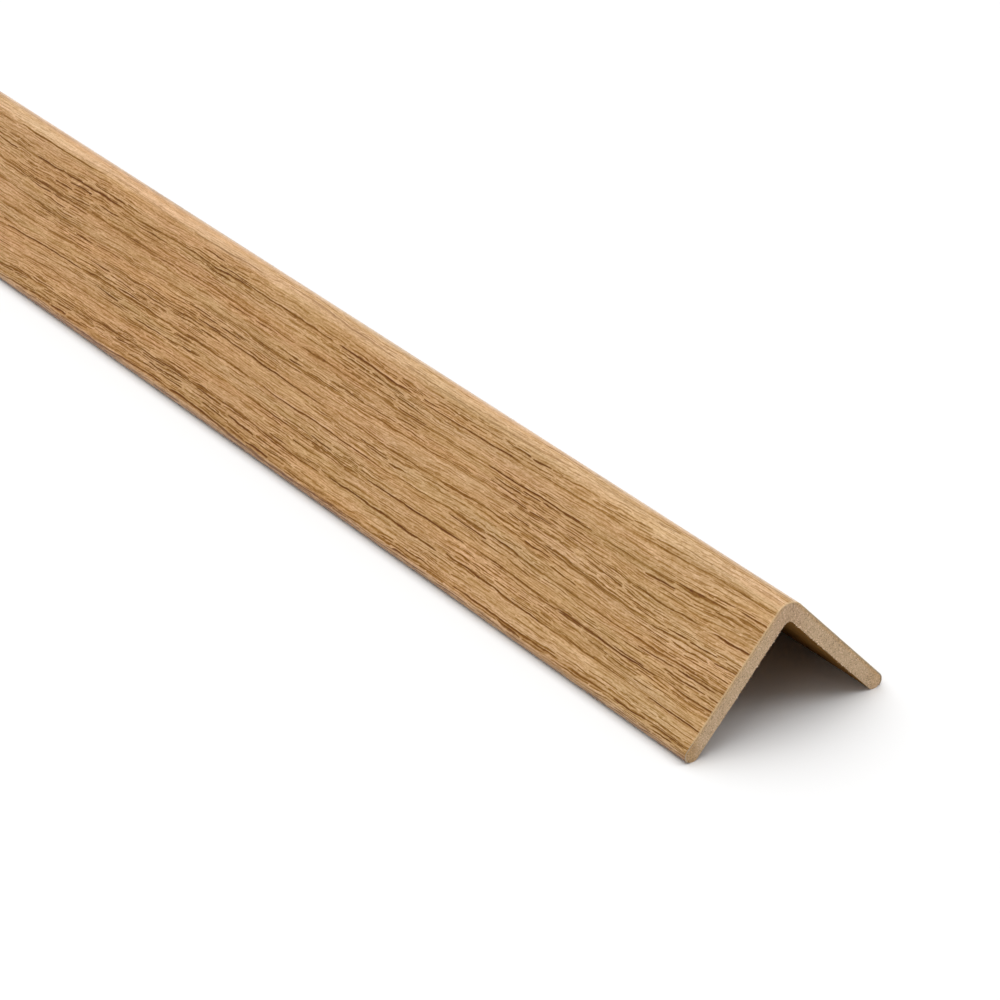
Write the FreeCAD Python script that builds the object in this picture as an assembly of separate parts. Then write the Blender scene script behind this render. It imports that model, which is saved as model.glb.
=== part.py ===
import FreeCAD, Part
import math
import os

# Corner guard moulding: a length of L-section fibreboard with an oak decor foil wrapped over
# its outside. It lies on its two rounded leg edges with the corner up, like a tent. The length
# runs along X, the section lies in the YZ plane, and the origin is under its middle.

# Driving dimensions, in millimetres and degrees
LENGTH = 1200.0           # square-cut stock length
LEG_WIDTH = 30.0          # each leg, from the sharp outer corner to the crown of its edge
INCLUDED_ANGLE = 85.0     # between the legs, closed a little so that the edges hug a wall corner
CORE_THICKNESS = 2.7      # fibreboard, from face to face of a leg
FOIL_THICKNESS = 0.2      # decor foil
OUTER_RADIUS = 3.1        # outside corner, measured over the foil
INNER_RADIUS = 1.2        # inside corner

# The section hangs from its sharp outer corner, and both legs turn half the angle from vertical
HALF_ANGLE = math.radians(INCLUDED_ANGLE / 2)
SIN_HALF = math.sin(HALF_ANGLE)
COS_HALF = math.cos(HALF_ANGLE)
WALL = FOIL_THICKNESS + CORE_THICKNESS

# Each leg ends in a full round nose, and the foil runs round it to its crown
NOSE_RADIUS = CORE_THICKNESS / 2
FOIL_NOSE_RADIUS = NOSE_RADIUS + FOIL_THICKNESS
NOSE_ALONG = LEG_WIDTH - FOIL_NOSE_RADIUS
NOSE_DEPTH = FOIL_THICKNESS + NOSE_RADIUS
OUTER_FACE_ANGLE = 90.0
CROWN_ANGLE = 0.0
INNER_FACE_ANGLE = -90.0

# The core's noses touch the ground, which sets the height of the sharp corner
APEX_HEIGHT = NOSE_RADIUS + NOSE_ALONG * COS_HALF + NOSE_DEPTH * SIN_HALF

RIGHT = 1
LEFT = -1


def section_point(side, along, depth):
    """Point down a leg from the sharp outer corner, at a depth below the leg's outer face."""
    y = side * (along * SIN_HALF - depth * COS_HALF)
    z = APEX_HEIGHT - along * COS_HALF - depth * SIN_HALF
    return FreeCAD.Vector(-LENGTH / 2, y, z)


def nose_point(side, radius, angle):
    """Point round a leg's nose, at an angle from the leg's own direction."""
    turn = math.radians(angle)
    return section_point(
        side,
        NOSE_ALONG + radius * math.cos(turn),
        NOSE_DEPTH - radius * math.sin(turn),
    )


def nose_arc(side, radius, from_angle, to_angle):
    """Arc round a leg's nose."""
    return Part.Arc(
        nose_point(side, radius, from_angle),
        nose_point(side, radius, (from_angle + to_angle) / 2),
        nose_point(side, radius, to_angle),
    )


def corner_arc(depth, centre_depth):
    """Arc over the corner from the right leg to the left, tangent to both at the given depth."""
    along = centre_depth / math.tan(HALF_ANGLE)
    right = section_point(RIGHT, along, depth)
    left = section_point(LEFT, along, depth)
    centre_height = APEX_HEIGHT - centre_depth / SIN_HALF
    crest = FreeCAD.Vector(right.x, 0, centre_height + abs(centre_depth - depth))
    return Part.Arc(right, crest, left)


def outer_run(depth, nose_radius):
    """Curves from the right crown over the outside of the section to the left crown."""
    right_nose = nose_arc(RIGHT, nose_radius, CROWN_ANGLE, OUTER_FACE_ANGLE)
    corner = corner_arc(depth, OUTER_RADIUS)
    left_nose = nose_arc(LEFT, nose_radius, OUTER_FACE_ANGLE, CROWN_ANGLE)
    return [
        right_nose,
        Part.LineSegment(right_nose.EndPoint, corner.StartPoint),
        corner,
        Part.LineSegment(corner.EndPoint, left_nose.StartPoint),
        left_nose,
    ]


def inner_run():
    """Curves from the right crown through the inside of the section to the left crown."""
    right_nose = nose_arc(RIGHT, NOSE_RADIUS, CROWN_ANGLE, INNER_FACE_ANGLE)
    corner = corner_arc(WALL, WALL + INNER_RADIUS)
    left_nose = nose_arc(LEFT, NOSE_RADIUS, INNER_FACE_ANGLE, CROWN_ANGLE)
    return [
        right_nose,
        Part.LineSegment(right_nose.EndPoint, corner.StartPoint),
        corner,
        Part.LineSegment(corner.EndPoint, left_nose.StartPoint),
        left_nose,
    ]


def extrude_section(curves):
    """Solid stock of the moulding's length from the closed outline that the curves make."""
    edges = Part.sortEdges([curve.toShape() for curve in curves])[0]
    return Part.Face(Part.Wire(edges)).extrude(FreeCAD.Vector(LENGTH, 0, 0))


def make_fibreboard_core():
    """L-section with a full round nose on each leg."""
    return extrude_section(outer_run(FOIL_THICKNESS, NOSE_RADIUS) + inner_run())


def make_oak_foil():
    """Skin of even thickness that shares the core's outer curves and ends square at each crown."""
    outside = outer_run(0, FOIL_NOSE_RADIUS)
    inside = outer_run(FOIL_THICKNESS, NOSE_RADIUS)
    right_end = Part.LineSegment(outside[0].StartPoint, inside[0].StartPoint)
    left_end = Part.LineSegment(outside[-1].EndPoint, inside[-1].EndPoint)
    return extrude_section(outside + [left_end] + inside + [right_end])


os.makedirs("parts", exist_ok=True)
PIECES = {"fibreboard_core": make_fibreboard_core(), "oak_foil": make_oak_foil()}
for name, solid in PIECES.items():
    solid.exportStep(f"parts/{name}.step")
    box = solid.BoundBox
    print(f"{name}: valid {solid.isValid()}, {solid.Volume / 1000:.1f} cm3, "
          f"{box.XLength:.1f} x {box.YLength:.2f} x {box.ZLength:.2f} mm, from Z {box.ZMin:.3f}")
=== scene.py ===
# %% [markdown]
# # A corner guard moulding, dressed for a studio picture
# The object is one length of trim: an L of fibreboard with a printed oak foil wrapped over its
# outside. Its solids come from a CAD model, in metres, with the length along X and Z up. This
# lesson draws the same two shapes again, smooth enough to carry a finish, and then makes that
# finish: the printed grain, the pressed pores, the sawn end, the white studio and the camera.

# %% Load the CAD solids as a fixed frame
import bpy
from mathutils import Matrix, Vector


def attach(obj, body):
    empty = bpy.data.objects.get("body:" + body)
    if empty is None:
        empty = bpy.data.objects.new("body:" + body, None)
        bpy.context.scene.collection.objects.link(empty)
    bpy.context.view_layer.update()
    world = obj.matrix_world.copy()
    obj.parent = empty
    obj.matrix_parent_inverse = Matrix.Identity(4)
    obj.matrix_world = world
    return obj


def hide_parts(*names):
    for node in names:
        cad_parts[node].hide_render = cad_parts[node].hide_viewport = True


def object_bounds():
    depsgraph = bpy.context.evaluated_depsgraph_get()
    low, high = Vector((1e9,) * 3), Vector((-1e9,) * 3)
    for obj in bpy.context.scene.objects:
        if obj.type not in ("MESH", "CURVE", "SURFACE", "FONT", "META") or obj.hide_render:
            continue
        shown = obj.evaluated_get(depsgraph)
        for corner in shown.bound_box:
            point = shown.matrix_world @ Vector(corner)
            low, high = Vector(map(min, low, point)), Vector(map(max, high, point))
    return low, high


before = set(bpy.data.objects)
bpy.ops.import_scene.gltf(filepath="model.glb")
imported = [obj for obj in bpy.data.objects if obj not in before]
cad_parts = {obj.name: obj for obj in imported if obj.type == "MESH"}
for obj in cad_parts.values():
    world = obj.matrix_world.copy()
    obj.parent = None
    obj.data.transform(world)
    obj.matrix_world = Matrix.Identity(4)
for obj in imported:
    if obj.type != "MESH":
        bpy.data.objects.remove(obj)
CAD_BOX = [list(corner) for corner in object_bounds()]
print("CAD box in metres:", CAD_BOX)

# %% [markdown]
# The section is a right-angled L that has been closed by a few degrees, so that its leg edges
# hug a wall. It lies on those edges like a tent. Only a handful of sizes are needed to draw it,
# and they are written once here. The CAD box then tells us whether the drawing is right.

# %% Sizes of the section
import math

MM = 0.001
LEG_WIDTH = 30.0 * MM
HALF_ANGLE = math.radians(85.0 / 2)
CORE_THICKNESS = 2.7 * MM
FOIL_THICKNESS = 0.2 * MM
OUTER_RADIUS = 3.1 * MM
INNER_RADIUS = 1.2 * MM

WALL = CORE_THICKNESS + FOIL_THICKNESS
NOSE_RADIUS = CORE_THICKNESS / 2
NOSE_ALONG = LEG_WIDTH - NOSE_RADIUS - FOIL_THICKNESS
NOSE_DEPTH = FOIL_THICKNESS + NOSE_RADIUS
SIN_HALF = math.sin(HALF_ANGLE)
COS_HALF = math.cos(HALF_ANGLE)
APEX_HEIGHT = NOSE_RADIUS + NOSE_ALONG * COS_HALF + NOSE_DEPTH * SIN_HALF
END_X = CAD_BOX[1][0]
crest_height = APEX_HEIGHT - OUTER_RADIUS / SIN_HALF + OUTER_RADIUS
print(f"drawn height {crest_height / MM:.3f} mm, CAD height {CAD_BOX[1][2] / MM:.3f} mm")

# %% [markdown]
# A profile is a loop of points in the plane of the section. Round stretches are worked out from
# a centre, a radius and two angles. Flat stretches get a row of points too: the first and last
# lie close to the curves, so that smooth shading stays in the curves and the flats stay flat.

# %% Points round a nose and over the corner
RIGHT = 1
LEFT = -1
NOSE_STEPS = 10
CORNER_STEPS = 20


def section_point(side, along, depth):
    """Point (y, z) down a leg from the sharp outer corner, at a depth below its outer face."""
    y = side * (along * SIN_HALF - depth * COS_HALF)
    z = APEX_HEIGHT - along * COS_HALF - depth * SIN_HALF
    return y, z


def nose_points(side, radius, from_degrees, to_degrees):
    """Points round a leg's nose. Zero degrees is its crown and 90 is the leg's outer face."""
    points = []
    for step in range(NOSE_STEPS + 1):
        turn = math.radians(from_degrees + (to_degrees - from_degrees) * step / NOSE_STEPS)
        along = NOSE_ALONG + radius * math.cos(turn)
        depth = NOSE_DEPTH - radius * math.sin(turn)
        points.append(section_point(side, along, depth))
    return points


def corner_points(radius, centre_depth):
    """Points over the corner from the right leg to the left, round a centre on the mid-plane."""
    centre_z = APEX_HEIGHT - centre_depth / SIN_HALF
    reach = math.pi / 2 - HALF_ANGLE
    turns = [reach - 2 * reach * step / CORNER_STEPS for step in range(CORNER_STEPS + 1)]
    return [(radius * math.sin(turn), centre_z + radius * math.cos(turn)) for turn in turns]


print("points round a nose:", len(nose_points(LEFT, NOSE_RADIUS, 0, 90)))

# %% The outside and the inside of the section
FLAT_SHARES = (0.01, 0.25, 0.5, 0.75, 0.99)


def joined(*stretches):
    """One row of points from several, with points along the flat between each pair."""
    row = list(stretches[0])
    for stretch in stretches[1:]:
        (y0, z0), (y1, z1) = row[-1], stretch[0]
        row += [(y0 + (y1 - y0) * share, z0 + (z1 - z0) * share) for share in FLAT_SHARES]
        row += stretch
    return row


def outer_run(depth):
    """The outside of the section from the right crown to the left, at a depth below the foil."""
    nose_radius = NOSE_DEPTH - depth
    return joined(
        nose_points(RIGHT, nose_radius, 0, 90),
        corner_points(OUTER_RADIUS - depth, OUTER_RADIUS),
        nose_points(LEFT, nose_radius, 90, 0),
    )


def inner_run():
    """The inside of the section from the left crown back to the right."""
    return joined(
        nose_points(LEFT, NOSE_RADIUS, 0, -90),
        corner_points(INNER_RADIUS, WALL + INNER_RADIUS)[::-1],
        nose_points(RIGHT, NOSE_RADIUS, -90, 0),
    )


print("points on the outside of the foil:", len(outer_run(0)))

# %% [markdown]
# ## Sweeping the stock
# The stock is the same section all the way along, so it follows a rule: a profile swept along a
# straight path. It could be extruded by hand, but Geometry Nodes suit a rule well. The object
# holds only the profile loop, and the node tree turns it into a curve, sweeps it and closes the
# ends. A few helpers keep the trees short to write. The first ones add nodes to any tree. Others
# start a Geometry Nodes tree, end it, and run it and keep the result as a plain mesh.

# %% Helpers that build node trees
import bpy

scene = bpy.context.scene


def wire(tree, target, value):
    """Link a socket to the target, or set the target to a plain value."""
    if isinstance(value, bpy.types.NodeSocket):
        tree.links.new(value, target)
    else:
        target.default_value = value


def add_node(tree, kind, inputs=None, **settings):
    """A new node with its settings, and its inputs by name or number."""
    made = tree.nodes.new(kind)
    for name, value in settings.items():
        setattr(made, name, value)
    for key, value in (inputs or {}).items():
        wire(tree, made.inputs[key], value)
    return made


print("nodes can be added")

# %% Helpers for vectors and sums


def parts_of(tree, vector):
    """The X, Y and Z of a vector socket."""
    return add_node(tree, "ShaderNodeSeparateXYZ", {"Vector": vector}).outputs


def vector_of(tree, **parts):
    """A vector socket with the given X and Y."""
    return add_node(tree, "ShaderNodeCombineXYZ", parts).outputs[0]


def calc(tree, operation, *values, clamp=False):
    """Output of a Math node."""
    inputs = dict(enumerate(values))
    made = add_node(tree, "ShaderNodeMath", inputs, operation=operation, use_clamp=clamp)
    return made.outputs[0]


def times(tree, first, second):
    """Product of two values."""
    return calc(tree, "MULTIPLY", first, second)


print("vectors and sums ready")

# %% Helpers that start, end and run a Geometry Nodes tree


def new_geometry_tree(name, sockets):
    """A Geometry Nodes tree with a geometry input and output and the named inputs."""
    tree = bpy.data.node_groups.new(name, "GeometryNodeTree")
    tree.is_modifier = True
    tree.interface.new_socket("Geometry", in_out="INPUT", socket_type="NodeSocketGeometry")
    tree.interface.new_socket("Geometry", in_out="OUTPUT", socket_type="NodeSocketGeometry")
    for socket_name, socket_type in sockets.items():
        tree.interface.new_socket(socket_name, in_out="INPUT", socket_type=socket_type)
    return tree, add_node(tree, "NodeGroupInput").outputs


def end_tree(tree, geometry, material):
    """Realize what the tree made, give it a material and put it out."""
    real = add_node(tree, "GeometryNodeRealizeInstances", {"Geometry": geometry}).outputs[0]
    dressed = add_node(tree, "GeometryNodeSetMaterial", {"Geometry": real, "Material": material})
    add_node(tree, "NodeGroupOutput", {"Geometry": dressed.outputs[0]})


def run_tree(name, mesh, tree, values):
    """Run a tree on a mesh with the named values, and return the result as a plain object."""
    carrier = bpy.data.objects.new(name + "_carrier", mesh)
    scene.collection.objects.link(carrier)
    modifier = carrier.modifiers.new(tree.name, "NODES")
    modifier.node_group = tree
    for item in tree.interface.items_tree:
        if item.in_out == "INPUT" and item.name in values:
            modifier[item.identifier] = values[item.name]
    bpy.context.view_layer.update()
    result = carrier.evaluated_get(bpy.context.evaluated_depsgraph_get())
    plain = bpy.data.meshes.new_from_object(result)
    bpy.data.objects.remove(carrier)
    plain.name = name
    piece = bpy.data.objects.new(name, plain)
    scene.collection.objects.link(piece)
    return piece


print("helpers for Geometry Nodes ready")

# %% [markdown]
# The sweep also writes a UV map named unrolled, in metres: the distance along the length, and the
# distance round the section. The grain will be drawn on it, as it is printed on the flat foil
# before the foil is wrapped. A pattern drawn straight through space would smear over the corner.

# %% The sweep: a profile along a straight path


def straight_path(tree, half_length, rings):
    """A line along X from end to end, cut into rings, with its up side up."""
    start = vector_of(tree, X=times(tree, half_length, -1.0))
    end = vector_of(tree, X=half_length)
    line = add_node(tree, "GeometryNodeCurvePrimitiveLine", {"Start": start, "End": end})
    cut = add_node(tree, "GeometryNodeResampleCurve", {"Curve": line.outputs[0], "Count": rings})
    upright = add_node(tree, "GeometryNodeSetCurveNormal", {"Curve": cut.outputs[0]}, mode="Z_UP")
    return upright.outputs[0]


def make_sweep_tree():
    """Tree that sweeps the incoming profile loop along X and writes the unrolled UV map."""
    tree, given = new_geometry_tree("sweep_along_x", {
        "Half Length": "NodeSocketFloat",
        "Rings": "NodeSocketInt",
        "Material": "NodeSocketMaterial",
    })
    profile = add_node(tree, "GeometryNodeMeshToCurve", {"Mesh": given["Geometry"]})
    swept = add_node(tree, "GeometryNodeCurveToMesh", {
        "Curve": straight_path(tree, given["Half Length"], given["Rings"]),
        "Profile Curve": profile.outputs[0],
        "Fill Caps": True,
    })
    along = parts_of(tree, add_node(tree, "GeometryNodeInputPosition").outputs[0])["X"]
    around = add_node(tree, "GeometryNodeInputNamedAttribute", {"Name": "around"}).outputs[0]
    mapped = add_node(tree, "GeometryNodeStoreNamedAttribute", {
        "Geometry": swept.outputs[0],
        "Name": "unrolled",
        "Value": vector_of(tree, X=along, Y=around),
    }, data_type="FLOAT2", domain="CORNER")
    end_tree(tree, mapped.outputs[0], given["Material"])
    return tree


SWEEP = make_sweep_tree()
print("sweep tree with", len(SWEEP.nodes), "nodes")

# %% [markdown]
# The sweep turns a profile half a turn about its path: the profile's X becomes minus Y and its Y
# becomes minus Z. So the loop is entered with both signs changed. Each point also carries its
# distance round the section, measured from the middle of the outside, where the corner is.

# %% Profile loops
RING_SPACING = 20.0 * MM
RINGS = round(2 * END_X / RING_SPACING) + 1
SHARP_ANGLE = math.radians(40)


def distances_round(loop):
    """Distance round a closed loop at each of its points, and at its first point again."""
    distances = [0.0]
    for (y0, z0), (y1, z1) in zip(loop, loop[1:] + loop[:1]):
        distances.append(distances[-1] + math.hypot(y1 - y0, z1 - z0))
    return distances


def profile_mesh(name, loop, outside_count):
    """Mesh loop of a profile, with the distance round it from the middle of its outside."""
    distances = distances_round(loop)[:-1]
    middle = distances[outside_count - 1] / 2
    edges = [(k, (k + 1) % len(loop)) for k in range(len(loop))]
    mesh = bpy.data.meshes.new(name)
    mesh.from_pydata([(-y, -z, 0) for y, z in loop], edges, [])
    around = mesh.attributes.new("around", "FLOAT", "POINT")
    around.data.foreach_set("value", [distance - middle for distance in distances])
    return mesh


def sweep_piece(name, loop, outside_count, half_length, material):
    """Swept stock with smooth curves and sharp cut edges."""
    mesh = profile_mesh(name + "_profile", loop, outside_count)
    values = {"Half Length": half_length, "Rings": RINGS, "Material": material}
    piece = run_tree(name, mesh, SWEEP, values)
    piece.data.shade_smooth()
    piece.data.set_sharp_from_angle(angle=SHARP_ANGLE)
    return piece


print("rings along the length:", RINGS)

# %% [markdown]
# When the model leaves Blender, its node materials are baked into square pictures. The moulding is
# 1.2 m long and only 60 mm round, so on one even scale a pore would be thinner than a pixel. A
# second map is laid out for the bake: each half of the length gets a row of its own across the
# whole picture, tall where the faces show and thin where they are hidden. Grain is many times
# longer than it is wide, so it can bear being squeezed along its length. The two cut ends are laid
# flat at the top.

# %% Places on the map for baking
BAKE_GAP = 0.008
SEAM_JUMP = 50.0 * MM
CUT_FACING = 0.9


def is_cut(face):
    """Whether a face lies across the length, on a cut end."""
    return abs(face.normal.x) > CUT_FACING


def unbroken_places(face, unrolled, whole_round):
    """A face's places on the unrolled map, carried on past the seam where the loop closes."""
    places = [unrolled[corner].vector.copy() for corner in face.loop_indices]
    heights = [place.y for place in places]
    if max(heights) - min(heights) > SEAM_JUMP:
        for place in places:
            place.y += whole_round if place.y < 0 else 0
    return places


def cut_place(point, far_half, base, scale):
    """Where a point of a cut end goes: flat at the top, one end beside the other."""
    u = BAKE_GAP + 0.5 * far_half + (point.y - CAD_BOX[0][1]) * scale
    return u, base + point.z * scale


print("cut ends face within", round(math.degrees(math.acos(CUT_FACING))), "degrees of the length")

# %% The map for baking


def lay_out_bake_map(piece, loop, outside_count, outside_row, inside_row, cut_width):
    """UV map with rows for the outside and the inside of each half, and both cut ends on top."""
    distances = distances_round(loop)
    half_outside = distances[outside_count - 1] / 2
    whole_round = distances[-1]
    inside_base = BAKE_GAP + 2 * (outside_row + BAKE_GAP)
    cut_base = inside_base + 2 * (inside_row + BAKE_GAP)
    cut_scale = cut_width / (CAD_BOX[1][1] - CAD_BOX[0][1])
    mesh = piece.data
    mesh.uv_layers.new(name="OFBake")
    unrolled = mesh.uv_layers["unrolled"].uv
    baked = mesh.uv_layers["OFBake"].uv
    for face in mesh.polygons:
        far_half = int(face.center.x > 0)
        places = unbroken_places(face, unrolled, whole_round)
        inside = sum(place.y for place in places) / len(places) > half_outside
        row = inside_row if inside else outside_row
        base = (inside_base if inside else BAKE_GAP) + far_half * (row + BAKE_GAP)
        start = half_outside if inside else -half_outside
        stretch = whole_round - 2 * half_outside if inside else 2 * half_outside
        for corner, place in zip(face.loop_indices, places):
            if is_cut(face):
                point = mesh.vertices[mesh.loops[corner].vertex_index].co
                baked[corner].vector = cut_place(point, far_half, cut_base, cut_scale)
            else:
                share = place.x / END_X + 1 - far_half
                u = BAKE_GAP + share * (1 - 2 * BAKE_GAP)
                baked[corner].vector = (u, base + row * (place.y - start) / stretch)
    print(f"{piece.name}: bake map filled to {cut_base + CAD_BOX[1][2] * cut_scale:.2f}")


# %% [markdown]
# ## The printed oak foil
# The real foil carries a printed picture of oak, and its pores are pressed into it while it is
# warm. A picture could be pasted on, but a pattern built from noise has no repeats and no edges.
# Every layer reads the unrolled map. Noise that is stretched along the length looks like wood
# fibre, so the helper that draws streaks takes a size along the grain and one across it.

# %% Helpers for steps and colours


def smooth_step(tree, value, low, high):
    """Smooth rise from 0 at low to 1 at high, or a fall where high is below low."""
    inputs = {"Value": value, "From Min": low, "From Max": high}
    made = add_node(tree, "ShaderNodeMapRange", inputs, interpolation_type="SMOOTHSTEP")
    return made.outputs["Result"]


def mixed(tree, share, first, second, blend="MIX"):
    """Two colours mixed by a share."""
    inputs = {"Factor": share, 6: first, 7: second}
    made = add_node(tree, "ShaderNodeMix", inputs, data_type="RGBA", blend_type=blend)
    return made.outputs[2]


def tinted(tree, share, colour, tint):
    """A colour multiplied by a tint where the share is 1."""
    return mixed(tree, share, colour, tint, blend="MULTIPLY")


print("steps and colours ready")

# %% Helpers that make a material
RELIEF = 0.05 * MM


def bumped(tree, height):
    """Surface direction for a height, with one unit for the whole relief."""
    return add_node(tree, "ShaderNodeBump", {"Height": height, "Distance": RELIEF}).outputs[0]


def new_material(name):
    """Empty material and its tree."""
    material = bpy.data.materials.new(name)
    material.use_nodes = True
    return material, material.node_tree


def dress(material, finish):
    """Link or set the inputs of a material's main shader by their names."""
    tree = material.node_tree
    for key, value in finish.items():
        wire(tree, tree.nodes["Principled BSDF"].inputs[key], value)
    return material


print("relief of every bump:", round(RELIEF / MM, 2), "mm")

# %% Streaks of noise along the grain


def scaled(tree, vector, along_mm, across_mm, shift=0.0):
    """The map with one unit for each cell of the given size, moved so that layers differ."""
    scale = (1 / (along_mm * MM), 1 / (across_mm * MM), 1)
    inputs = {"Vector": vector, "Scale": scale, "Location": (shift, shift, 0)}
    return add_node(tree, "ShaderNodeMapping", inputs).outputs[0]


def streaks(tree, vector, along_mm, across_mm, shift, detail=2.0):
    """Noise in streaks of about the given size, from 0 to 1."""
    place = scaled(tree, vector, along_mm, across_mm, shift)
    inputs = {"Vector": place, "Scale": 1.0, "Detail": detail}
    made = add_node(tree, "ShaderNodeTexNoise", inputs, noise_dimensions="2D")
    return made.outputs["Fac"]


def weighed(tree, total, layer, weight):
    """A total with a layer of noise added, so that the layer's middle changes nothing."""
    return calc(tree, "MULTIPLY_ADD", calc(tree, "SUBTRACT", layer, 0.5), weight, total)


print("streaks ready")

# %% [markdown]
# Real grain is never ruled. The trunk leans a little to the saw, so the grain drifts across the
# leg, and it sways and trembles on its way. Slow and quick noise push the unrolled map sideways
# before any layer reads it. All the layers then wander together, as fibres and pores do in wood.

# %% Grain that wanders
GRAIN_SKEW = 0.012
SLOW_SWAY = 3.0 * MM
QUICK_WOBBLE = 0.6 * MM


def wandering_grain(tree, unrolled):
    """The unrolled map, skewed a little and pushed sideways by slow and quick noise."""
    slow = streaks(tree, unrolled, along_mm=70, across_mm=18, shift=3.1, detail=1.0)
    quick = streaks(tree, unrolled, along_mm=7, across_mm=1.8, shift=7.7)
    parts = parts_of(tree, unrolled)
    skewed = calc(tree, "MULTIPLY_ADD", parts["X"], GRAIN_SKEW, parts["Y"])
    swayed = weighed(tree, skewed, slow, SLOW_SWAY)
    wobbled = weighed(tree, swayed, quick, QUICK_WOBBLE)
    return vector_of(tree, X=parts["X"], Y=wobbled)


print(f"the grain drifts {GRAIN_SKEW * 1000:.0f} mm across in each metre")

# %% [markdown]
# A pore is a short dark stroke, thickest in its middle and pointed at its ends. On oak the strokes
# follow one another in lanes along the grain. Each lane is cut into lengths by a Voronoi texture of
# one dimension, which gives every length a seed and a random colour. That colour is the stroke's
# luck: it decides how long it is, how deep it was pressed, how it leans and where it lies in its
# lane. A row of modelled grooves would look the same, but it would take millions of faces.

# %% One lane's strokes
LANE_STRIDE = 57.31
END_FADE = 0.12
LEAST_HALF_LENGTH = 0.4
LEAST_DEPTH = 0.5
LUCK_SPREAD = 0.5


def lane_seeds(tree, place):
    """Offset to the nearest seed in a point's lane, the seed's luck and the room to its end."""
    parts = parts_of(tree, place)
    lane = calc(tree, "FLOOR", parts["Y"])
    thread = calc(tree, "MULTIPLY_ADD", lane, LANE_STRIDE, parts["X"])
    inputs = {"W": thread, "Scale": 1.0}
    seeds = add_node(tree, "ShaderNodeTexVoronoi", inputs, voronoi_dimensions="1D")
    ends = add_node(tree, "ShaderNodeTexVoronoi", inputs, voronoi_dimensions="1D",
                    feature="DISTANCE_TO_EDGE")
    luck = add_node(tree, "ShaderNodeSeparateColor", {"Color": seeds.outputs["Color"]}).outputs
    from_seed = calc(tree, "SUBTRACT", thread, seeds.outputs["W"])
    from_end = smooth_step(tree, ends.outputs["Distance"], 0.0, END_FADE)
    return from_seed, from_end, luck


def stroke_taper(tree, from_seed, from_end, luck):
    """How full a stroke is at a point along it, from 1 at its seed to 0 at its tips."""
    half_length = calc(tree, "MULTIPLY_ADD", luck[0], LUCK_SPREAD, LEAST_HALF_LENGTH)
    reach = calc(tree, "DIVIDE", from_seed, half_length)
    taper = calc(tree, "SUBTRACT", 1.0, times(tree, reach, reach), clamp=True)
    return times(tree, taper, from_end)


print("each lane reads its seeds", LANE_STRIDE, "lengths on from the last")

# %% Pores in lanes
LEAN = 0.04
SOFT_OUTSIDE = -0.6
SOFT_INSIDE = 0.3
TIP_FADE = 0.3
LIP_ASIDE = 1.8


def aside_of_stroke(tree, place, from_seed, luck, lane_mm, stroke_mm, length_mm, spread):
    """Distance sideways from a stroke's middle line, with 1 at the edge of the widest stroke."""
    lean = times(tree, calc(tree, "SUBTRACT", luck[0], 0.5), LEAN * length_mm / lane_mm)
    middle = weighed(tree, 0.5, luck[2], spread)
    middle = calc(tree, "MULTIPLY_ADD", from_seed, lean, middle)
    within = calc(tree, "SUBTRACT", calc(tree, "FRACT", parts_of(tree, place)["Y"]), middle)
    return times(tree, within, 2 * lane_mm / stroke_mm)


def pore_lanes(tree, grain, ragged, lane_mm, stroke_mm, length_mm, spread, shift):
    """Strokes in lanes along the grain: how deep a point lies in one, and in the painted highlight
    of its lip.
    """
    place = scaled(tree, grain, length_mm, lane_mm, shift)
    from_seed, from_end, luck = lane_seeds(tree, place)
    taper = stroke_taper(tree, from_seed, from_end, luck)
    depth = calc(tree, "MULTIPLY_ADD", luck[1], LUCK_SPREAD, LEAST_DEPTH)
    fullness = times(tree, depth, calc(tree, "SQRT", taper))
    aside = aside_of_stroke(tree, place, from_seed, luck, lane_mm, stroke_mm, length_mm, spread)
    inside = calc(tree, "SUBTRACT", fullness, calc(tree, "ABSOLUTE", aside))
    inside = calc(tree, "ADD", inside, ragged)
    present = times(tree, depth, smooth_step(tree, taper, 0.0, TIP_FADE))
    stroke = times(tree, smooth_step(tree, inside, SOFT_OUTSIDE, SOFT_INSIDE), present)
    # painted highlight: a pale band beside each stroke, where its raised lip would catch the light
    lip_place = calc(tree, "MULTIPLY_ADD", fullness, LIP_ASIDE, aside)
    lip_highlight = smooth_step(tree, calc(tree, "ABSOLUTE", lip_place), 1.0, 0.0)
    return stroke, times(tree, lip_highlight, fullness)


print("pores are drawn in lanes")

# %% [markdown]
# Between the rows of large pores runs the faint line of each year's growth, with a wider shade on
# both sides of it. It comes and goes along the length. The lines keep the pitch of the largest
# pores, because in oak those pores open at the start of each year.

# %% Growth lines
GROWTH_PITCH_MM = 3.4
GROWTH_LINE_MM = 0.15
GROWTH_SHADE_MM = 1.1
GROWTH_FAINT = 0.3
GROWTH_STRONG = 0.65


def growth_lines(tree, grain, shift):
    """The faint line of each year's growth, and the wider shade on both sides of it."""
    place = scaled(tree, grain, 1.0, GROWTH_PITCH_MM, shift)
    across = calc(tree, "FRACT", parts_of(tree, place)["Y"])
    from_line = calc(tree, "ABSOLUTE", calc(tree, "SUBTRACT", across, 0.5))
    comes_and_goes = streaks(tree, grain, along_mm=14, across_mm=2.5, shift=3.3)
    strength = smooth_step(tree, comes_and_goes, GROWTH_FAINT, GROWTH_STRONG)
    line = smooth_step(tree, from_line, GROWTH_LINE_MM / GROWTH_PITCH_MM, 0.01)
    shade = smooth_step(tree, from_line, GROWTH_SHADE_MM / GROWTH_PITCH_MM, 0.0)
    return times(tree, line, strength), times(tree, shade, strength)


print("growth lines every", GROWTH_PITCH_MM, "mm")

# %% [markdown]
# The layers are now added up. First the body of the print: broad bands, streaks, fibres and specks,
# each a noise of its own size and weight. Then the pores: large ones in wide lanes, middling ones
# that crowd together in patches, and hair-fine ones. Where two kinds cross, the deeper one wins.

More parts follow.
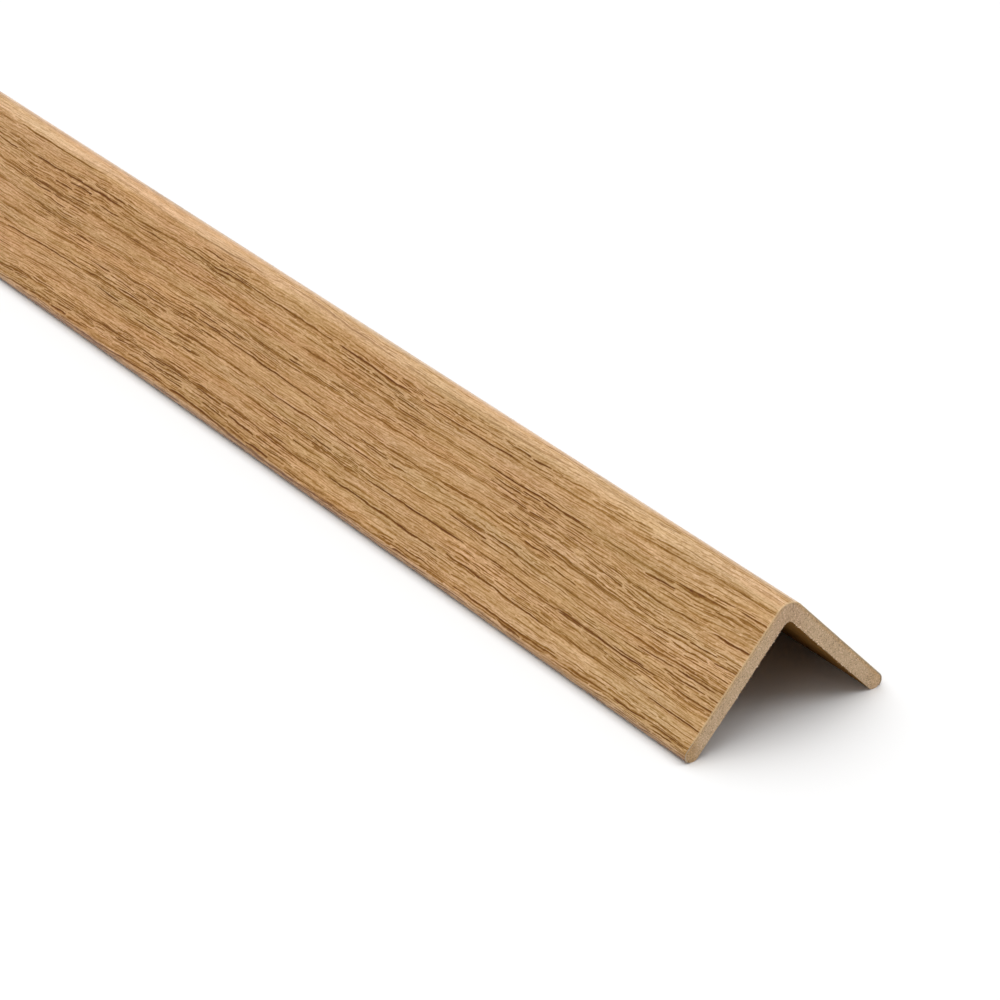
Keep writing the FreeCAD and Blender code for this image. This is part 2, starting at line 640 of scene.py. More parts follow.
# %% The body of the print
PRINT_LIGHTNESS = 0.670
BAND_WEIGHT = 0.10
STREAK_WEIGHT = 0.15
FIBRE_WEIGHT = 0.18
FINE_FIBRE_WEIGHT = 0.23
SPECK_WEIGHT = 0.17


def print_body(tree, grain, fibre):
    """Lightness of the print before its pores, from layers of noise and their weights."""
    layers = (
        (streaks(tree, grain, along_mm=110, across_mm=6.0, shift=1.3), BAND_WEIGHT),
        (streaks(tree, grain, along_mm=24, across_mm=1.1, shift=5.9), STREAK_WEIGHT),
        (fibre, FIBRE_WEIGHT),
        (streaks(tree, grain, along_mm=1.6, across_mm=0.18, shift=2.6), FINE_FIBRE_WEIGHT),
        (streaks(tree, grain, along_mm=0.6, across_mm=0.2, shift=4.1, detail=1.0), SPECK_WEIGHT),
    )
    tone = PRINT_LIGHTNESS
    for layer, weight in layers:
        tone = weighed(tree, tone, layer, weight)
    return tone


print("mean lightness of the print:", PRINT_LIGHTNESS)

# %% Pressed pores
MAIN_DARKNESS = 0.46
GROWTH_DARKNESS = 0.30
SIDE_DARKNESS = 0.42
FINE_DARKNESS = 0.28
CROWD_FROM = 0.4
CROWD_TO = 0.6
LEAST_CROWD = 0.5


def pressed_pores(tree, grain, growth):
    """How deep the foil is pressed, with the growth lines among the pores, and the painted
    highlights on their lips.
    """
    patches = smooth_step(tree, streaks(tree, grain, along_mm=40, across_mm=4, shift=6.6),
                          CROWD_FROM, CROWD_TO)
    crowd = calc(tree, "MULTIPLY_ADD", patches, 1 - LEAST_CROWD, LEAST_CROWD)
    ragged = streaks(tree, grain, along_mm=1.5, across_mm=0.3, shift=7.1, detail=1.0)
    ragged = calc(tree, "SUBTRACT", ragged, 0.5)
    main, main_lip_highlights = pore_lanes(tree, grain, ragged, lane_mm=GROWTH_PITCH_MM, stroke_mm=0.27,
                                 length_mm=32, spread=0.1, shift=2.4)
    side, side_lip_highlights = pore_lanes(tree, grain, ragged, lane_mm=0.8, stroke_mm=0.21,
                                 length_mm=9, spread=0.45, shift=8.3)
    fine, _ = pore_lanes(tree, grain, ragged, lane_mm=0.43, stroke_mm=0.17,
                         length_mm=5, spread=0.45, shift=4.7)
    marks = (
        (growth, GROWTH_DARKNESS),
        (times(tree, side, crowd), SIDE_DARKNESS),
        (times(tree, fine, crowd), FINE_DARKNESS),
    )
    pressed = times(tree, main, MAIN_DARKNESS)
    for mark, darkness in marks:
        pressed = calc(tree, "MAXIMUM", pressed, times(tree, mark, darkness))
    return pressed, calc(tree, "MAXIMUM", main_lip_highlights, times(tree, side_lip_highlights, crowd))


print("deepest pore takes", MAIN_DARKNESS, "off the lightness")

# %% [markdown]
# Lightness alone is not a colour. The print's dark tones are redder and its pale tones creamier, so
# a ramp turns each lightness into the oak's colour at that tone. Two slow noises then tint it, one
# between greenish and reddish and one between golden and grey, as oak does from fibre to fibre. A
# slow wave along the length makes some stretches a little warmer than others, as a printing roller
# does while it turns.

# %% The oak's colour at each tone
TONE_STEPS = (60, 90, 120, 150, 180, 205)
MIDDLE_TONE = 150
RED_ABOVE = 38.3
GREEN_BELOW = 6.0
BLUE_BELOW = 61.0
DARK_REDDER = 0.08
DARK_LESS_BLUE = 0.24
LEAST_BLUE = 4.0
FOIL_LIGHT = 1.14


def oak_tone(lightness):
    """Linear colour of the oak print at a lightness from 0 to 255, for the light it stands in."""
    warmth = MIDDLE_TONE - lightness
    red = lightness + RED_ABOVE + warmth * DARK_REDDER
    green = lightness - GREEN_BELOW
    blue = max(lightness - BLUE_BELOW - warmth * DARK_LESS_BLUE, LEAST_BLUE)
    screen = [channel / 255 for channel in (red, green, blue)]
    return (*[((share + 0.055) / 1.055) ** 2.4 / FOIL_LIGHT for share in screen], 1)


def tone_ramp(tree, lightness):
    """Colour of the print for a lightness socket that runs from 0 to 1."""
    made = add_node(tree, "ShaderNodeValToRGB", {"Fac": lightness})
    stops = made.color_ramp.elements
    for stop, step in zip(stops, (TONE_STEPS[0], TONE_STEPS[-1])):
        stop.position = step / 255
        stop.color = oak_tone(step)
    for step in TONE_STEPS[1:-1]:
        stops.new(step / 255).color = oak_tone(step)
    return made.outputs["Color"]


print("middle tone of the oak:", [round(channel, 3) for channel in oak_tone(MIDDLE_TONE)[:3]])

# %% Tints from patch to patch
LESS_RED = (0.91, 1.0, 1.0, 1)
MORE_RED = (1.09, 1.0, 1.0, 1)
GOLDEN = (1.0, 1.0, 0.87, 1)
GREYISH = (1.0, 1.0, 1.13, 1)
WARM_STRETCH = (1.0, 0.945, 0.90, 1)
ROLLER_TURN = 400.0 * MM


def warm_stretches(tree, grain):
    """How warm the print is along its length, in a slow wave that is 0 at both cut ends."""
    angle = times(tree, parts_of(tree, grain)["X"], 2 * math.pi / ROLLER_TURN)
    return calc(tree, "MULTIPLY_ADD", calc(tree, "COSINE", angle), 0.5, 0.5)


def oak_colour(tree, grain, tone):
    """Colour of the print at a tone, tinted from patch to patch and along its length."""
    red_patches = streaks(tree, grain, along_mm=40, across_mm=3.0, shift=1.9, detail=5.0)
    grey_patches = streaks(tree, grain, along_mm=30, across_mm=2.5, shift=8.8, detail=5.0)
    red_tint = mixed(tree, red_patches, LESS_RED, MORE_RED)
    grey_tint = mixed(tree, grey_patches, GOLDEN, GREYISH)
    colour = tinted(tree, 1.0, tone_ramp(tree, tone), red_tint)
    colour = tinted(tree, 1.0, colour, grey_tint)
    return tinted(tree, warm_stretches(tree, grain), colour, WARM_STRETCH)


print("the warm stretches come every", round(ROLLER_TURN / MM), "mm")

# %% [markdown]
# Over the corner the foil is stretched, so the pores are half as deep there, and the print is paler
# and more golden: partly from the stretch, and partly a painted highlight along the crest. Where
# the foil begins to turn round a leg's nose, a dark line runs along it, and below the nose the
# print is darkened by painted shade. At the saw cut the print is chipped in a ragged line, and the
# cream base paper shows. All of these follow the unrolled map: its Y is the distance from the
# crest, and its X tells how far the cut is.

# %% Bands over the corner and the nose, with painted highlight and shade, and the saw's chips
CORNER_BARE = 1.9 * MM
CORNER_BAND = 3.2 * MM
CORNER_KEPT = 0.5
NOSE_DARK_LINE = 27.5 * MM
NOSE_LINE_EDGE = 0.7 * MM
NOSE_LINE_HEART = 0.1 * MM
NOSE_TURN = 28.1 * MM
NOSE_UNDERSIDE = 29.4 * MM
CHIPS_STOP = 25.0 * MM
CHIP_MOST = 0.5 * MM
FOIL_EDGE_CREAM = (0.740, 0.520, 0.285, 1)
CORNER_STRETCH_AND_HIGHLIGHT_GOLD = (1.0, 1.0, 0.94, 1)


def corner_and_nose_bands(tree, from_crest):
    """How far a point is off the corner, on the nose's dark line, and in the painted shade under
    it.
    """
    off_corner = smooth_step(tree, from_crest, CORNER_BARE, CORNER_BAND)
    from_nose_dark_line = calc(tree, "ABSOLUTE", calc(tree, "SUBTRACT", from_crest, NOSE_DARK_LINE))
    nose_dark_line = smooth_step(tree, from_nose_dark_line, NOSE_LINE_EDGE, NOSE_LINE_HEART)
    # painted shade: the print darkens below the nose, where the floor's contact shadow falls
    painted_shade_under_nose = smooth_step(tree, from_crest, NOSE_TURN, NOSE_UNDERSIDE)
    return off_corner, nose_dark_line, painted_shade_under_nose


def chipped_print(tree, unrolled, from_crest):
    """How far the print is chipped off along the saw cut."""
    from_cut = calc(tree, "SUBTRACT", END_X, calc(tree, "ABSOLUTE", parts_of(tree, unrolled)["X"]))
    ragged = streaks(tree, unrolled, along_mm=0.5, across_mm=0.5, shift=5.5)
    reach = calc(tree, "DIVIDE", from_cut, times(tree, ragged, CHIP_MOST))
    above_nose = smooth_step(tree, from_crest, NOSE_DARK_LINE, CHIPS_STOP)
    return times(tree, smooth_step(tree, reach, 1.0, 0.5), above_nose)


print("the corner band ends", round(CORNER_BAND / MM, 1), "mm from the crest")

# %% [markdown]
# The finish brings it together. A satin lacquer is a coat over the print: it mirrors the white
# backdrop only at a shallow angle, which gives the pale rim along the crest. The pores are a bump,
# since they are shallower than a tenth of a millimetre, and they are a little rougher too.

# %% The foil's lightness, with every mark
CORNER_STRETCH_AND_HIGHLIGHT = 0.028
UNDER_NOSE_PAINTED_SHADE = -0.19
LIP_PAINTED_HIGHLIGHT = 0.05
SHADE_DARKER = -0.035
NOSE_LINE_DARKER = -0.045


def foil_tone(tree, grain, fibre, from_crest):
    """Lightness of the foil with its painted highlight and shade, how deep it is pressed, and how
    near it is to the corner.
    """
    growth, shade = growth_lines(tree, grain, shift=2.4)
    pressed, lip_highlights = pressed_pores(tree, grain, growth)
    off_corner, nose_dark_line, painted_shade_under_nose = corner_and_nose_bands(tree, from_crest)
    kept = calc(tree, "MULTIPLY_ADD", off_corner, 1 - CORNER_KEPT, CORNER_KEPT)
    pressed = times(tree, pressed, kept)
    # painted highlight: the corner band is paler, partly from the stretched print
    stretch_and_highlight_share = calc(tree, "SUBTRACT", 1.0, off_corner)
    marks = (
        (stretch_and_highlight_share, CORNER_STRETCH_AND_HIGHLIGHT),
        # painted shade below the nose
        (painted_shade_under_nose, UNDER_NOSE_PAINTED_SHADE),
        # painted highlight beside the pores
        (times(tree, lip_highlights, kept), LIP_PAINTED_HIGHLIGHT),
        (shade, SHADE_DARKER),
        (nose_dark_line, NOSE_LINE_DARKER),
    )
    tone = print_body(tree, grain, fibre)
    for mark, change in marks:
        tone = calc(tree, "MULTIPLY_ADD", mark, change, tone)
    return calc(tree, "SUBTRACT", tone, pressed), pressed, stretch_and_highlight_share


print("the corner is paler by", CORNER_STRETCH_AND_HIGHLIGHT)

# %% The foil's finish
CHIP_SHARE = 0.42
FOIL_ROUGHNESS = 0.5
FIBRE_HEIGHT = 0.1
PORE_HEIGHT = -3.0
SHEEN_WARMTH = (1.0, 0.75, 0.45, 1)


def unrolled_map(tree):
    """The UV map that the sweep wrote, in metres along the length and round the section."""
    return add_node(tree, "ShaderNodeUVMap", uv_map="unrolled").outputs[0]


def oak_foil_material():
    """Printed oak with pressed pores under a satin lacquer."""
    material, tree = new_material("printed_oak_foil")
    unrolled = unrolled_map(tree)
    grain = wandering_grain(tree, unrolled)
    fibre = streaks(tree, grain, along_mm=5, across_mm=0.36, shift=9.2)
    from_crest = calc(tree, "ABSOLUTE", parts_of(tree, unrolled)["Y"])
    tone, pressed, stretch_and_highlight_share = foil_tone(tree, grain, fibre, from_crest)
    # golden tint over the corner: partly stretched print, partly painted highlight
    colour = tinted(tree, stretch_and_highlight_share, oak_colour(tree, grain, tone), CORNER_STRETCH_AND_HIGHLIGHT_GOLD)
    chipped = times(tree, chipped_print(tree, unrolled, from_crest), CHIP_SHARE)
    height = calc(tree, "MULTIPLY_ADD", fibre, FIBRE_HEIGHT, times(tree, pressed, PORE_HEIGHT))
    return dress(material, {
        "Base Color": mixed(tree, chipped, colour, FOIL_EDGE_CREAM),
        "Roughness": calc(tree, "ADD", pressed, FOIL_ROUGHNESS),
        "Specular IOR Level": 0.25,
        "Specular Tint": SHEEN_WARMTH,
        "Coat Weight": 0.8,
        "Coat Roughness": 0.2,
        "Normal": bumped(tree, height),
    })


OAK_FOIL = oak_foil_material()
print("foil finish with", len(OAK_FOIL.node_tree.nodes), "nodes")

# %% [markdown]
# The foil piece itself is a thin closed shell: its outer run, and the same run one foil thickness
# further in. On the map for baking its outside takes nearly the whole picture, because that is what
# shows. The piece then stands in for the CAD solid of the foil.

# %% The foil, swept and dressed
foil_outside = outer_run(0)
foil_loop = foil_outside + outer_run(FOIL_THICKNESS)[::-1]
foil = sweep_piece("wrapped_oak_foil", foil_loop, len(foil_outside), END_X, OAK_FOIL)
lay_out_bake_map(foil, foil_loop, len(foil_outside),
                 outside_row=0.40, inside_row=0.01, cut_width=0.245)
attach(foil, "root")
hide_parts("oak_foil")
print("foil faces:", len(foil.data.polygons))

# %% [markdown]
# Seen end on, the foil is a line as thin as a card: its bare edge, cream on the side that the saw
# entered cleanly, and duller on the other leg and round the noses. It gets a material of its own on
# the two cut faces, since the print has no business there.

# %% The foil's cut edge
FOIL_EDGE_DULL = (0.420, 0.330, 0.230, 1)
NOSE_FROM = 17.5 * MM
NOSE_TO = 18.8 * MM
RIGHT_FROM = 1.0 * MM
RIGHT_TO = 4.0 * MM
RIGHT_DULLNESS = 0.7
PAPER_SPECKS = 2500.0
SPECK_SHARE = 0.3


def object_place(tree):
    """Place of a point in the piece's own frame."""
    return add_node(tree, "ShaderNodeTexCoord").outputs["Object"]


def foil_edge_material():
    """Bare edge of the foil, paler than its print on the left leg and duller elsewhere."""
    material, tree = new_material("cut_foil_edge")
    place = object_place(tree)
    across = parts_of(tree, place)["Y"]
    on_nose = smooth_step(tree, calc(tree, "ABSOLUTE", across), NOSE_FROM, NOSE_TO)
    on_right = smooth_step(tree, across, RIGHT_FROM, RIGHT_TO)
    dull = calc(tree, "MAXIMUM", on_nose, times(tree, on_right, RIGHT_DULLNESS))
    specks = add_node(tree, "ShaderNodeTexNoise", {"Vector": place, "Scale": PAPER_SPECKS})
    share = times(tree, specks.outputs["Fac"], SPECK_SHARE)
    edge = mixed(tree, share, FOIL_EDGE_CREAM, oak_tone(MIDDLE_TONE))
    colour = mixed(tree, dull, edge, FOIL_EDGE_DULL)
    return dress(material, {"Base Color": colour, "Roughness": 0.7})


foil.data.materials.append(foil_edge_material())
cut_faces = [face for face in foil.data.polygons if is_cut(face)]
for face in cut_faces:
    face.material_index = 1
print("cut faces on the foil:", len(cut_faces))

# %% [markdown]
# ## The fibreboard core
# Fibreboard is wood fibre pressed flat with resin. Sawn across, it is a dull greyish tan with a
# fine speckle. Glue from the foil browns the first millimetre, the bend is a little darker, and the
# left nose is darker and more yellow. Noise on Object coordinates gives the speckle,
# since it runs through the board and not over it. Places on the section give the rest.

# %% Places on the section
GLUE_REACH = 1.0 * MM
CORE_NOSE_FROM = 16.0 * MM
CORE_NOSE_TO = 18.5 * MM
BEND_EDGE = 4.5 * MM
BEND_HEART = 2.0 * MM


def board_noise(tree, features_mm, detail=2.0):
    """Noise with features of about the given size, from 0 to 1."""
    scale = 1 / (features_mm * MM)
    inputs = {"Vector": object_place(tree), "Scale": scale, "Detail": detail}
    return add_node(tree, "ShaderNodeTexNoise", inputs).outputs["Fac"]


def places_on_section(tree):
    """How near a point is to the foil, to a nose, to the left nose and to the bend."""
    parts = parts_of(tree, object_place(tree))
    sideways = calc(tree, "ABSOLUTE", parts["Y"])
    down = calc(tree, "SUBTRACT", APEX_HEIGHT, parts["Z"])
    depth = calc(tree, "MULTIPLY_ADD", sideways, -COS_HALF, times(tree, down, SIN_HALF))
    near_foil = smooth_step(tree, depth, GLUE_REACH, FOIL_THICKNESS)
    on_nose = smooth_step(tree, sideways, CORE_NOSE_FROM, CORE_NOSE_TO)
    on_left_nose = smooth_step(tree, parts["Y"], -CORE_NOSE_FROM, -CORE_NOSE_TO)
    in_bend = smooth_step(tree, sideways, BEND_EDGE, BEND_HEART)
    return near_foil, on_nose, on_left_nose, in_bend


print("glue browns the first", round(GLUE_REACH / MM, 1), "mm")

# %% The sawn end's finish
BOARD_DARK = (0.140, 0.090, 0.052, 1)
BOARD_TAN = (0.600, 0.425, 0.265, 1)
BOARD_PALE = (0.930, 0.730, 0.530, 1)
GLUE_TINT = (0.985, 0.925, 0.800, 1)
NOSE_TINT = (1.000, 0.965, 0.910, 1)
# darker and more yellow on the left nose
LEFT_NOSE_TINT = (0.864, 0.823, 0.744, 1)
BEND_TINT = (0.930, 0.900, 0.910, 1)
PLACE_TINTS = (GLUE_TINT, NOSE_TINT, LEFT_NOSE_TINT, BEND_TINT)
CLUMP_WEIGHT = 0.25
BOARD_SPECK_WEIGHT = 1.15
DULL_FIBRE = {"Roughness": 0.9, "Specular IOR Level": 0.05}


def fibre_colour(tree, tone, darkest, dark_at, pale_at):
    """Fibre colour from the darkest, through tan in the middle, to pale."""
    dark_half = mixed(tree, smooth_step(tree, tone, dark_at, 0.5), darkest, BOARD_TAN)
    return mixed(tree, smooth_step(tree, tone, 0.5, pale_at), dark_half, BOARD_PALE)


def sawn_end_material():
    """Sawn fibreboard: a dense fine speckle, tinted from place to place."""
    material, tree = new_material("sawn_fibreboard_end")
    clumps = board_noise(tree, features_mm=1.1)
    specks = board_noise(tree, features_mm=0.24, detail=3.0)
    tone = weighed(tree, 0.5, clumps, CLUMP_WEIGHT)
    tone = weighed(tree, tone, specks, BOARD_SPECK_WEIGHT)
    colour = fibre_colour(tree, tone, BOARD_DARK, dark_at=0.1, pale_at=0.95)
    for share, tint in zip(places_on_section(tree), PLACE_TINTS):
        colour = tinted(tree, share, colour, tint)
    return dress(material, {"Base Color": colour, "Normal": bumped(tree, specks), **DULL_FIBRE})


SAWN_END = sawn_end_material()
print("sawn end finish with", len(SAWN_END.node_tree.nodes), "nodes")

# %% [markdown]
# The back of the moulding faces the wall and has no foil. It keeps the board's brown pressed skin,
# with faint lines along it from the cutter that planed it. Those lines follow the length, so they
# are streaks on the unrolled map. The skin is as dull as the cut. A shiny one would pass the light
# of the white floor on, deep into the hollow, which is dark on the real one.

# %% The back's finish
BACK_DARK = (0.200, 0.092, 0.020, 1)
BACK_BROWN = (0.325, 0.160, 0.040, 1)
BACK_SPECKS = 0.4
BACK_BLOTCHES = 0.3
BACK_LINES = 0.3
DARK_SHARE = 0.38
BROWN_SHARE = 0.62


def board_back_material():
    """Pressed back of the board, browner than a sawn end, with the cutter's lines along it."""
    material, tree = new_material("pressed_board_back")
    lines = streaks(tree, unrolled_map(tree), along_mm=60, across_mm=0.45, shift=4.4)
    blotches = board_noise(tree, features_mm=2.5)
    specks = board_noise(tree, features_mm=0.4)
    share = calc(tree, "MULTIPLY_ADD", specks, BACK_SPECKS, times(tree, blotches, BACK_BLOTCHES))
    share = calc(tree, "MULTIPLY_ADD", lines, BACK_LINES, share)
    brown = smooth_step(tree, share, DARK_SHARE, BROWN_SHARE)
    colour = mixed(tree, brown, BACK_DARK, BACK_BROWN)
    return dress(material, {"Base Color": colour, "Normal": bumped(tree, lines), **DULL_FIBRE})


BOARD_BACK = board_back_material()
print("back finish with", len(BOARD_BACK.node_tree.nodes), "nodes")

# %% [markdown]
# The core is swept as the foil was, from the outer run under the foil and the inner run. The saw
# leaves the softer board a hair short of the foil's edge. Its noses were milled round, which opens
# the fibre, so they get the sawn finish too, and the rest of its inside gets the back's.

# %% The core, swept and dressed
SAW_RECESS = 0.05 * MM
core_outside = outer_run(FOIL_THICKNESS)
core_loop = core_outside[:-1] + inner_run()[:-1]
core = sweep_piece("sawn_fibreboard_core", core_loop, len(core_outside), END_X - SAW_RECESS,
                   BOARD_BACK)
lay_out_bake_map(core, core_loop, len(core_outside),
                 outside_row=0.01, inside_row=0.31, cut_width=0.48)
core.data.materials.append(SAWN_END)
for face in core.data.polygons:
    down_leg = abs(face.center.y) * SIN_HALF + (APEX_HEIGHT - face.center.z) * COS_HALF
    face.material_index = int(is_cut(face) or down_leg > NOSE_ALONG)
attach(core, "root")
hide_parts("fibreboard_core")
print("core faces:", len(core.data.polygons))

# %% [markdown]
# ## Torn fibre
# A saw tears fibreboard a little. Loose ends of fibre stand on the cut, and bits hang on along its
# inner edge, where no foil holds them. They could be a bump in the finish, but a bump leaves the
# edge itself straight. So over a thousand small flat crumbs are scattered by Geometry Nodes: at
# random over the cut faces, and in a row along the inner edge. Each one keeps a random tone.

# %% The two cut faces, with their torn edges marked
TORN_FROM_HEIGHT = 1.5 * MM


def cut_faces_mesh():
    """The core's two cut faces, with the inner edges marked above the leg edges."""
    count = len(core_loop)
    cut_x = END_X - SAW_RECESS
    points = [(x, y, z) for x in (-cut_x, cut_x) for y, z in core_loop]
    faces = [list(range(count))[::-1], list(range(count, 2 * count))]
    mesh = bpy.data.meshes.new("cut_faces")
    mesh.from_pydata(points, [], faces)
    inner_from = len(core_outside) - 1
    torn = mesh.attributes.new("torn", "BOOLEAN", "EDGE")
    for edge, mark in zip(mesh.edges, torn.data):
        inner = all(vertex % count >= inner_from for vertex in edge.vertices)
        high = all(points[vertex][2] > TORN_FROM_HEIGHT for vertex in edge.vertices)
        mark.value = inner and high
    return mesh


cut_faces_plan = cut_faces_mesh()
print("faces to scatter on:", len(cut_faces_plan.polygons))

# %% [markdown]
# One crumb is a ball of twenty faces, squashed to a flake and turned about the length. The smallest
# and largest crumb are inputs to a random size. Crumbs near the ground are left out, because the
# moulding has to stand on its leg edges and not on its crumbs.

# %% Crumbs on a set of points


def random_between(tree, low, high, seed):
    """A random number, or a random vector, between two limits."""
    as_vector = isinstance(low, tuple)
    kind = "FLOAT_VECTOR" if as_vector else "FLOAT"
    first = 0 if as_vector else 2
    inputs = {first: low, first + 1: high, "Seed": seed}
    made = add_node(tree, "FunctionNodeRandomValue", inputs, data_type=kind)
    return made.outputs[0 if as_vector else 1]


def crumbs_on(tree, points, clear_height, smallest, largest, seed):
    """Small flat crumbs on points that lie clear of the ground, each with a random tone."""
    bead = add_node(tree, "GeometryNodeMeshIcoSphere", {"Radius": 1.0, "Subdivisions": 1})
    height = parts_of(tree, add_node(tree, "GeometryNodeInputPosition").outputs[0])["Z"]
    clear = add_node(tree, "FunctionNodeCompare", {0: height, 1: clear_height},
                     operation="GREATER_THAN")
    turn = random_between(tree, 0.0, math.pi, seed)
    made = add_node(tree, "GeometryNodeInstanceOnPoints", {
        "Points": points,
        "Selection": clear.outputs[0],
        "Instance": bead.outputs[0],
        "Rotation": vector_of(tree, X=turn),
        "Scale": random_between(tree, smallest, largest, seed + 1),
    })
    toned = add_node(tree, "GeometryNodeStoreNamedAttribute", {
        "Geometry": made.outputs[0],
        "Name": "crumb_tone",
        "Value": random_between(tree, 0.0, 1.0, seed + 2),
    }, data_type="FLOAT", domain="INSTANCE")
    return toned.outputs[0]


print("crumbs can be set on points")

# %% The crumb tree
FACE_CRUMB_LEAST = (0.020 * MM, 0.05 * MM, 0.04 * MM)
FACE_CRUMB_MOST = (0.045 * MM, 0.15 * MM, 0.09 * MM)
EDGE_CRUMB_LEAST = (0.020 * MM, 0.08 * MM, 0.05 * MM)
EDGE_CRUMB_MOST = (0.045 * MM, 0.30 * MM, 0.13 * MM)
SCATTER_SEED = 3
FACE_SEED = 10
EDGE_SEED = 20


def make_crumb_tree():
    """Tree that scatters crumbs on the incoming faces and along their torn edges."""
    tree, given = new_geometry_tree("scatter_crumbs", {
        "Crumbs Per Area": "NodeSocketFloat",
        "Edge Spacing": "NodeSocketFloat",
        "Clear Height": "NodeSocketFloat",
        "Material": "NodeSocketMaterial",
    })
    sawn = add_node(tree, "GeometryNodeDistributePointsOnFaces", {
        "Mesh": given["Geometry"],
        "Density": given["Crumbs Per Area"],
        "Seed": SCATTER_SEED,
    })
    torn = add_node(tree, "GeometryNodeInputNamedAttribute", {"Name": "torn"}, data_type="BOOLEAN")
    edge = add_node(tree, "GeometryNodeMeshToCurve",
                    {"Mesh": given["Geometry"], "Selection": torn.outputs[0]})
    row = add_node(tree, "GeometryNodeCurveToPoints",
                   {"Curve": edge.outputs[0], "Length": given["Edge Spacing"]}, mode="LENGTH")
    on_faces = crumbs_on(tree, sawn.outputs[0], given["Clear Height"],
                         FACE_CRUMB_LEAST, FACE_CRUMB_MOST, FACE_SEED)
    on_edges = crumbs_on(tree, row.outputs[0], given["Clear Height"],
                         EDGE_CRUMB_LEAST, EDGE_CRUMB_MOST, EDGE_SEED)
    both = add_node(tree, "GeometryNodeJoinGeometry")
    tree.links.new(on_faces, both.inputs[0])
    tree.links.new(on_edges, both.inputs[0])
    end_tree(tree, both.outputs[0], given["Material"])
    return tree


CRUMBS = make_crumb_tree()
print("crumb tree with", len(CRUMBS.nodes), "nodes")

# %% The crumbs, scattered and dressed
CRUMB_DARK = (0.330, 0.220, 0.130, 1)
CRUMBS_PER_SQUARE_METRE = 3.5e6
EDGE_CRUMB_SPACING = 0.35 * MM
CRUMB_CLEARANCE = 0.3 * MM


def crumb_material():
    """Loose fibre, from dark to pale by each crumb's own tone."""
    material, tree = new_material("loose_fibre")
    tone = add_node(tree, "ShaderNodeAttribute", attribute_name="crumb_tone").outputs["Fac"]
    colour = fibre_colour(tree, tone, CRUMB_DARK, dark_at=0.0, pale_at=1.0)
    return dress(material, {"Base Color": colour, **DULL_FIBRE})


crumbs = run_tree("torn_fibre_crumbs", cut_faces_plan, CRUMBS, {
    "Crumbs Per Area": CRUMBS_PER_SQUARE_METRE,
    "Edge Spacing": EDGE_CRUMB_SPACING,
    "Clear Height": CRUMB_CLEARANCE,
    "Material": crumb_material(),
})
crumbs.data.shade_smooth()
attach(crumbs, "root")
print("crumb faces:", len(crumbs.data.polygons))

# %% [markdown]
# ## The studio
# The floor is white and lit up to white, so that only the shadows show on it. It could be a curved
# paper sweep, but a large flat floor gives the same picture and the same light from all sides.

# %% Floor
FLOOR_HALF = 30.0
FLOOR_WHITE = (0.86, 0.86, 0.86, 1)


def make_floor():
    """Large plain floor under the moulding."""
    mesh = bpy.data.meshes.new("studio_floor")
    signs = ((-1, -1), (1, -1), (1, 1), (-1, 1))
    corners = [(x * FLOOR_HALF, y * FLOOR_HALF, 0) for x, y in signs]
    mesh.from_pydata(corners, [], [(0, 1, 2, 3)])
    matt_white = {"Base Color": FLOOR_WHITE, "Roughness": 0.9, "Specular IOR Level": 0.0}
    mesh.materials.append(dress(new_material("white_floor")[0], matt_white))
    floor = bpy.data.objects.new("studio_floor", mesh)
    scene.collection.objects.link(floor)


make_floor()
print("floor", 2 * FLOOR_HALF, "m wide")

# %% [markdown]
# The sky does two jobs. Its soft light, stronger overhead, fills the shadows. Near the ground it
# glows, and on the far side of the moulding that glow rises to a tall white backdrop. The lacquer
# mirrors this backdrop along the crest, so the rim of the corner shines a little.

# %% Sky
BACKDROP_SIDE = (-0.81, 0.59, 0.0)
GLOW_TOP = 0.05
BACKDROP_RISE = 0.59
BACKDROP_FULL = 0.7
SKY_FULL = 0.9


def make_sky(horizon, overhead, glow):
    """White sky, brighter overhead, with a low glow all round and a tall white backdrop behind."""
    world = bpy.data.worlds.new("studio_sky")
    world.use_nodes = True
    tree = world.node_tree
    direction = add_node(tree, "ShaderNodeTexCoord").outputs["Generated"]
    height = parts_of(tree, direction)["Z"]
    rise = smooth_step(tree, height, 0.0, SKY_FULL)
    strength = calc(tree, "MULTIPLY_ADD", rise, overhead - horizon, horizon)
    behind = add_node(tree, "ShaderNodeVectorMath", {0: direction, 1: BACKDROP_SIDE},
                      operation="DOT_PRODUCT").outputs["Value"]
    backdrop = smooth_step(tree, behind, 0.0, BACKDROP_FULL)
    top = calc(tree, "MULTIPLY_ADD", backdrop, BACKDROP_RISE, GLOW_TOP)
    above = smooth_step(tree, calc(tree, "DIVIDE", height, top), 0.0, 1.0)
    low = calc(tree, "SUBTRACT", 1.0, above)
    strength = calc(tree, "MULTIPLY_ADD", low, glow, strength)
    background = tree.nodes["Background"]
    background.inputs["Color"].default_value = (1, 1, 1, 1)
    wire(tree, background.inputs["Strength"], strength)
    scene.world = world


make_sky(horizon=0.06, overhead=0.44, glow=0.9)
print("sky ready")

# %% [markdown]
# Four broad suns stand for light banks, because a sun lights a long piece the same from end to end.
# The overhead one makes the soft shadow under the moulding, and shines a little towards its near
# end. The near one lights the leg that we see, the far one the other leg, and a weak one looks into
# the open end, so that the floor inside fades from white to dark as it should.

# %% Light banks


def make_light_bank(name, strength, spread_degrees, tilt_x, tilt_y):
    """Broad soft light from overhead, tilted by degrees about X and Y."""
    lamp = bpy.data.lights.new(name, "SUN")
    lamp.energy = strength
    lamp.angle = math.radians(spread_degrees)
    bank = bpy.data.objects.new(name, lamp)
    bank.rotation_euler = (math.radians(tilt_x), math.radians(tilt_y), 0)
    scene.collection.objects.link(bank)


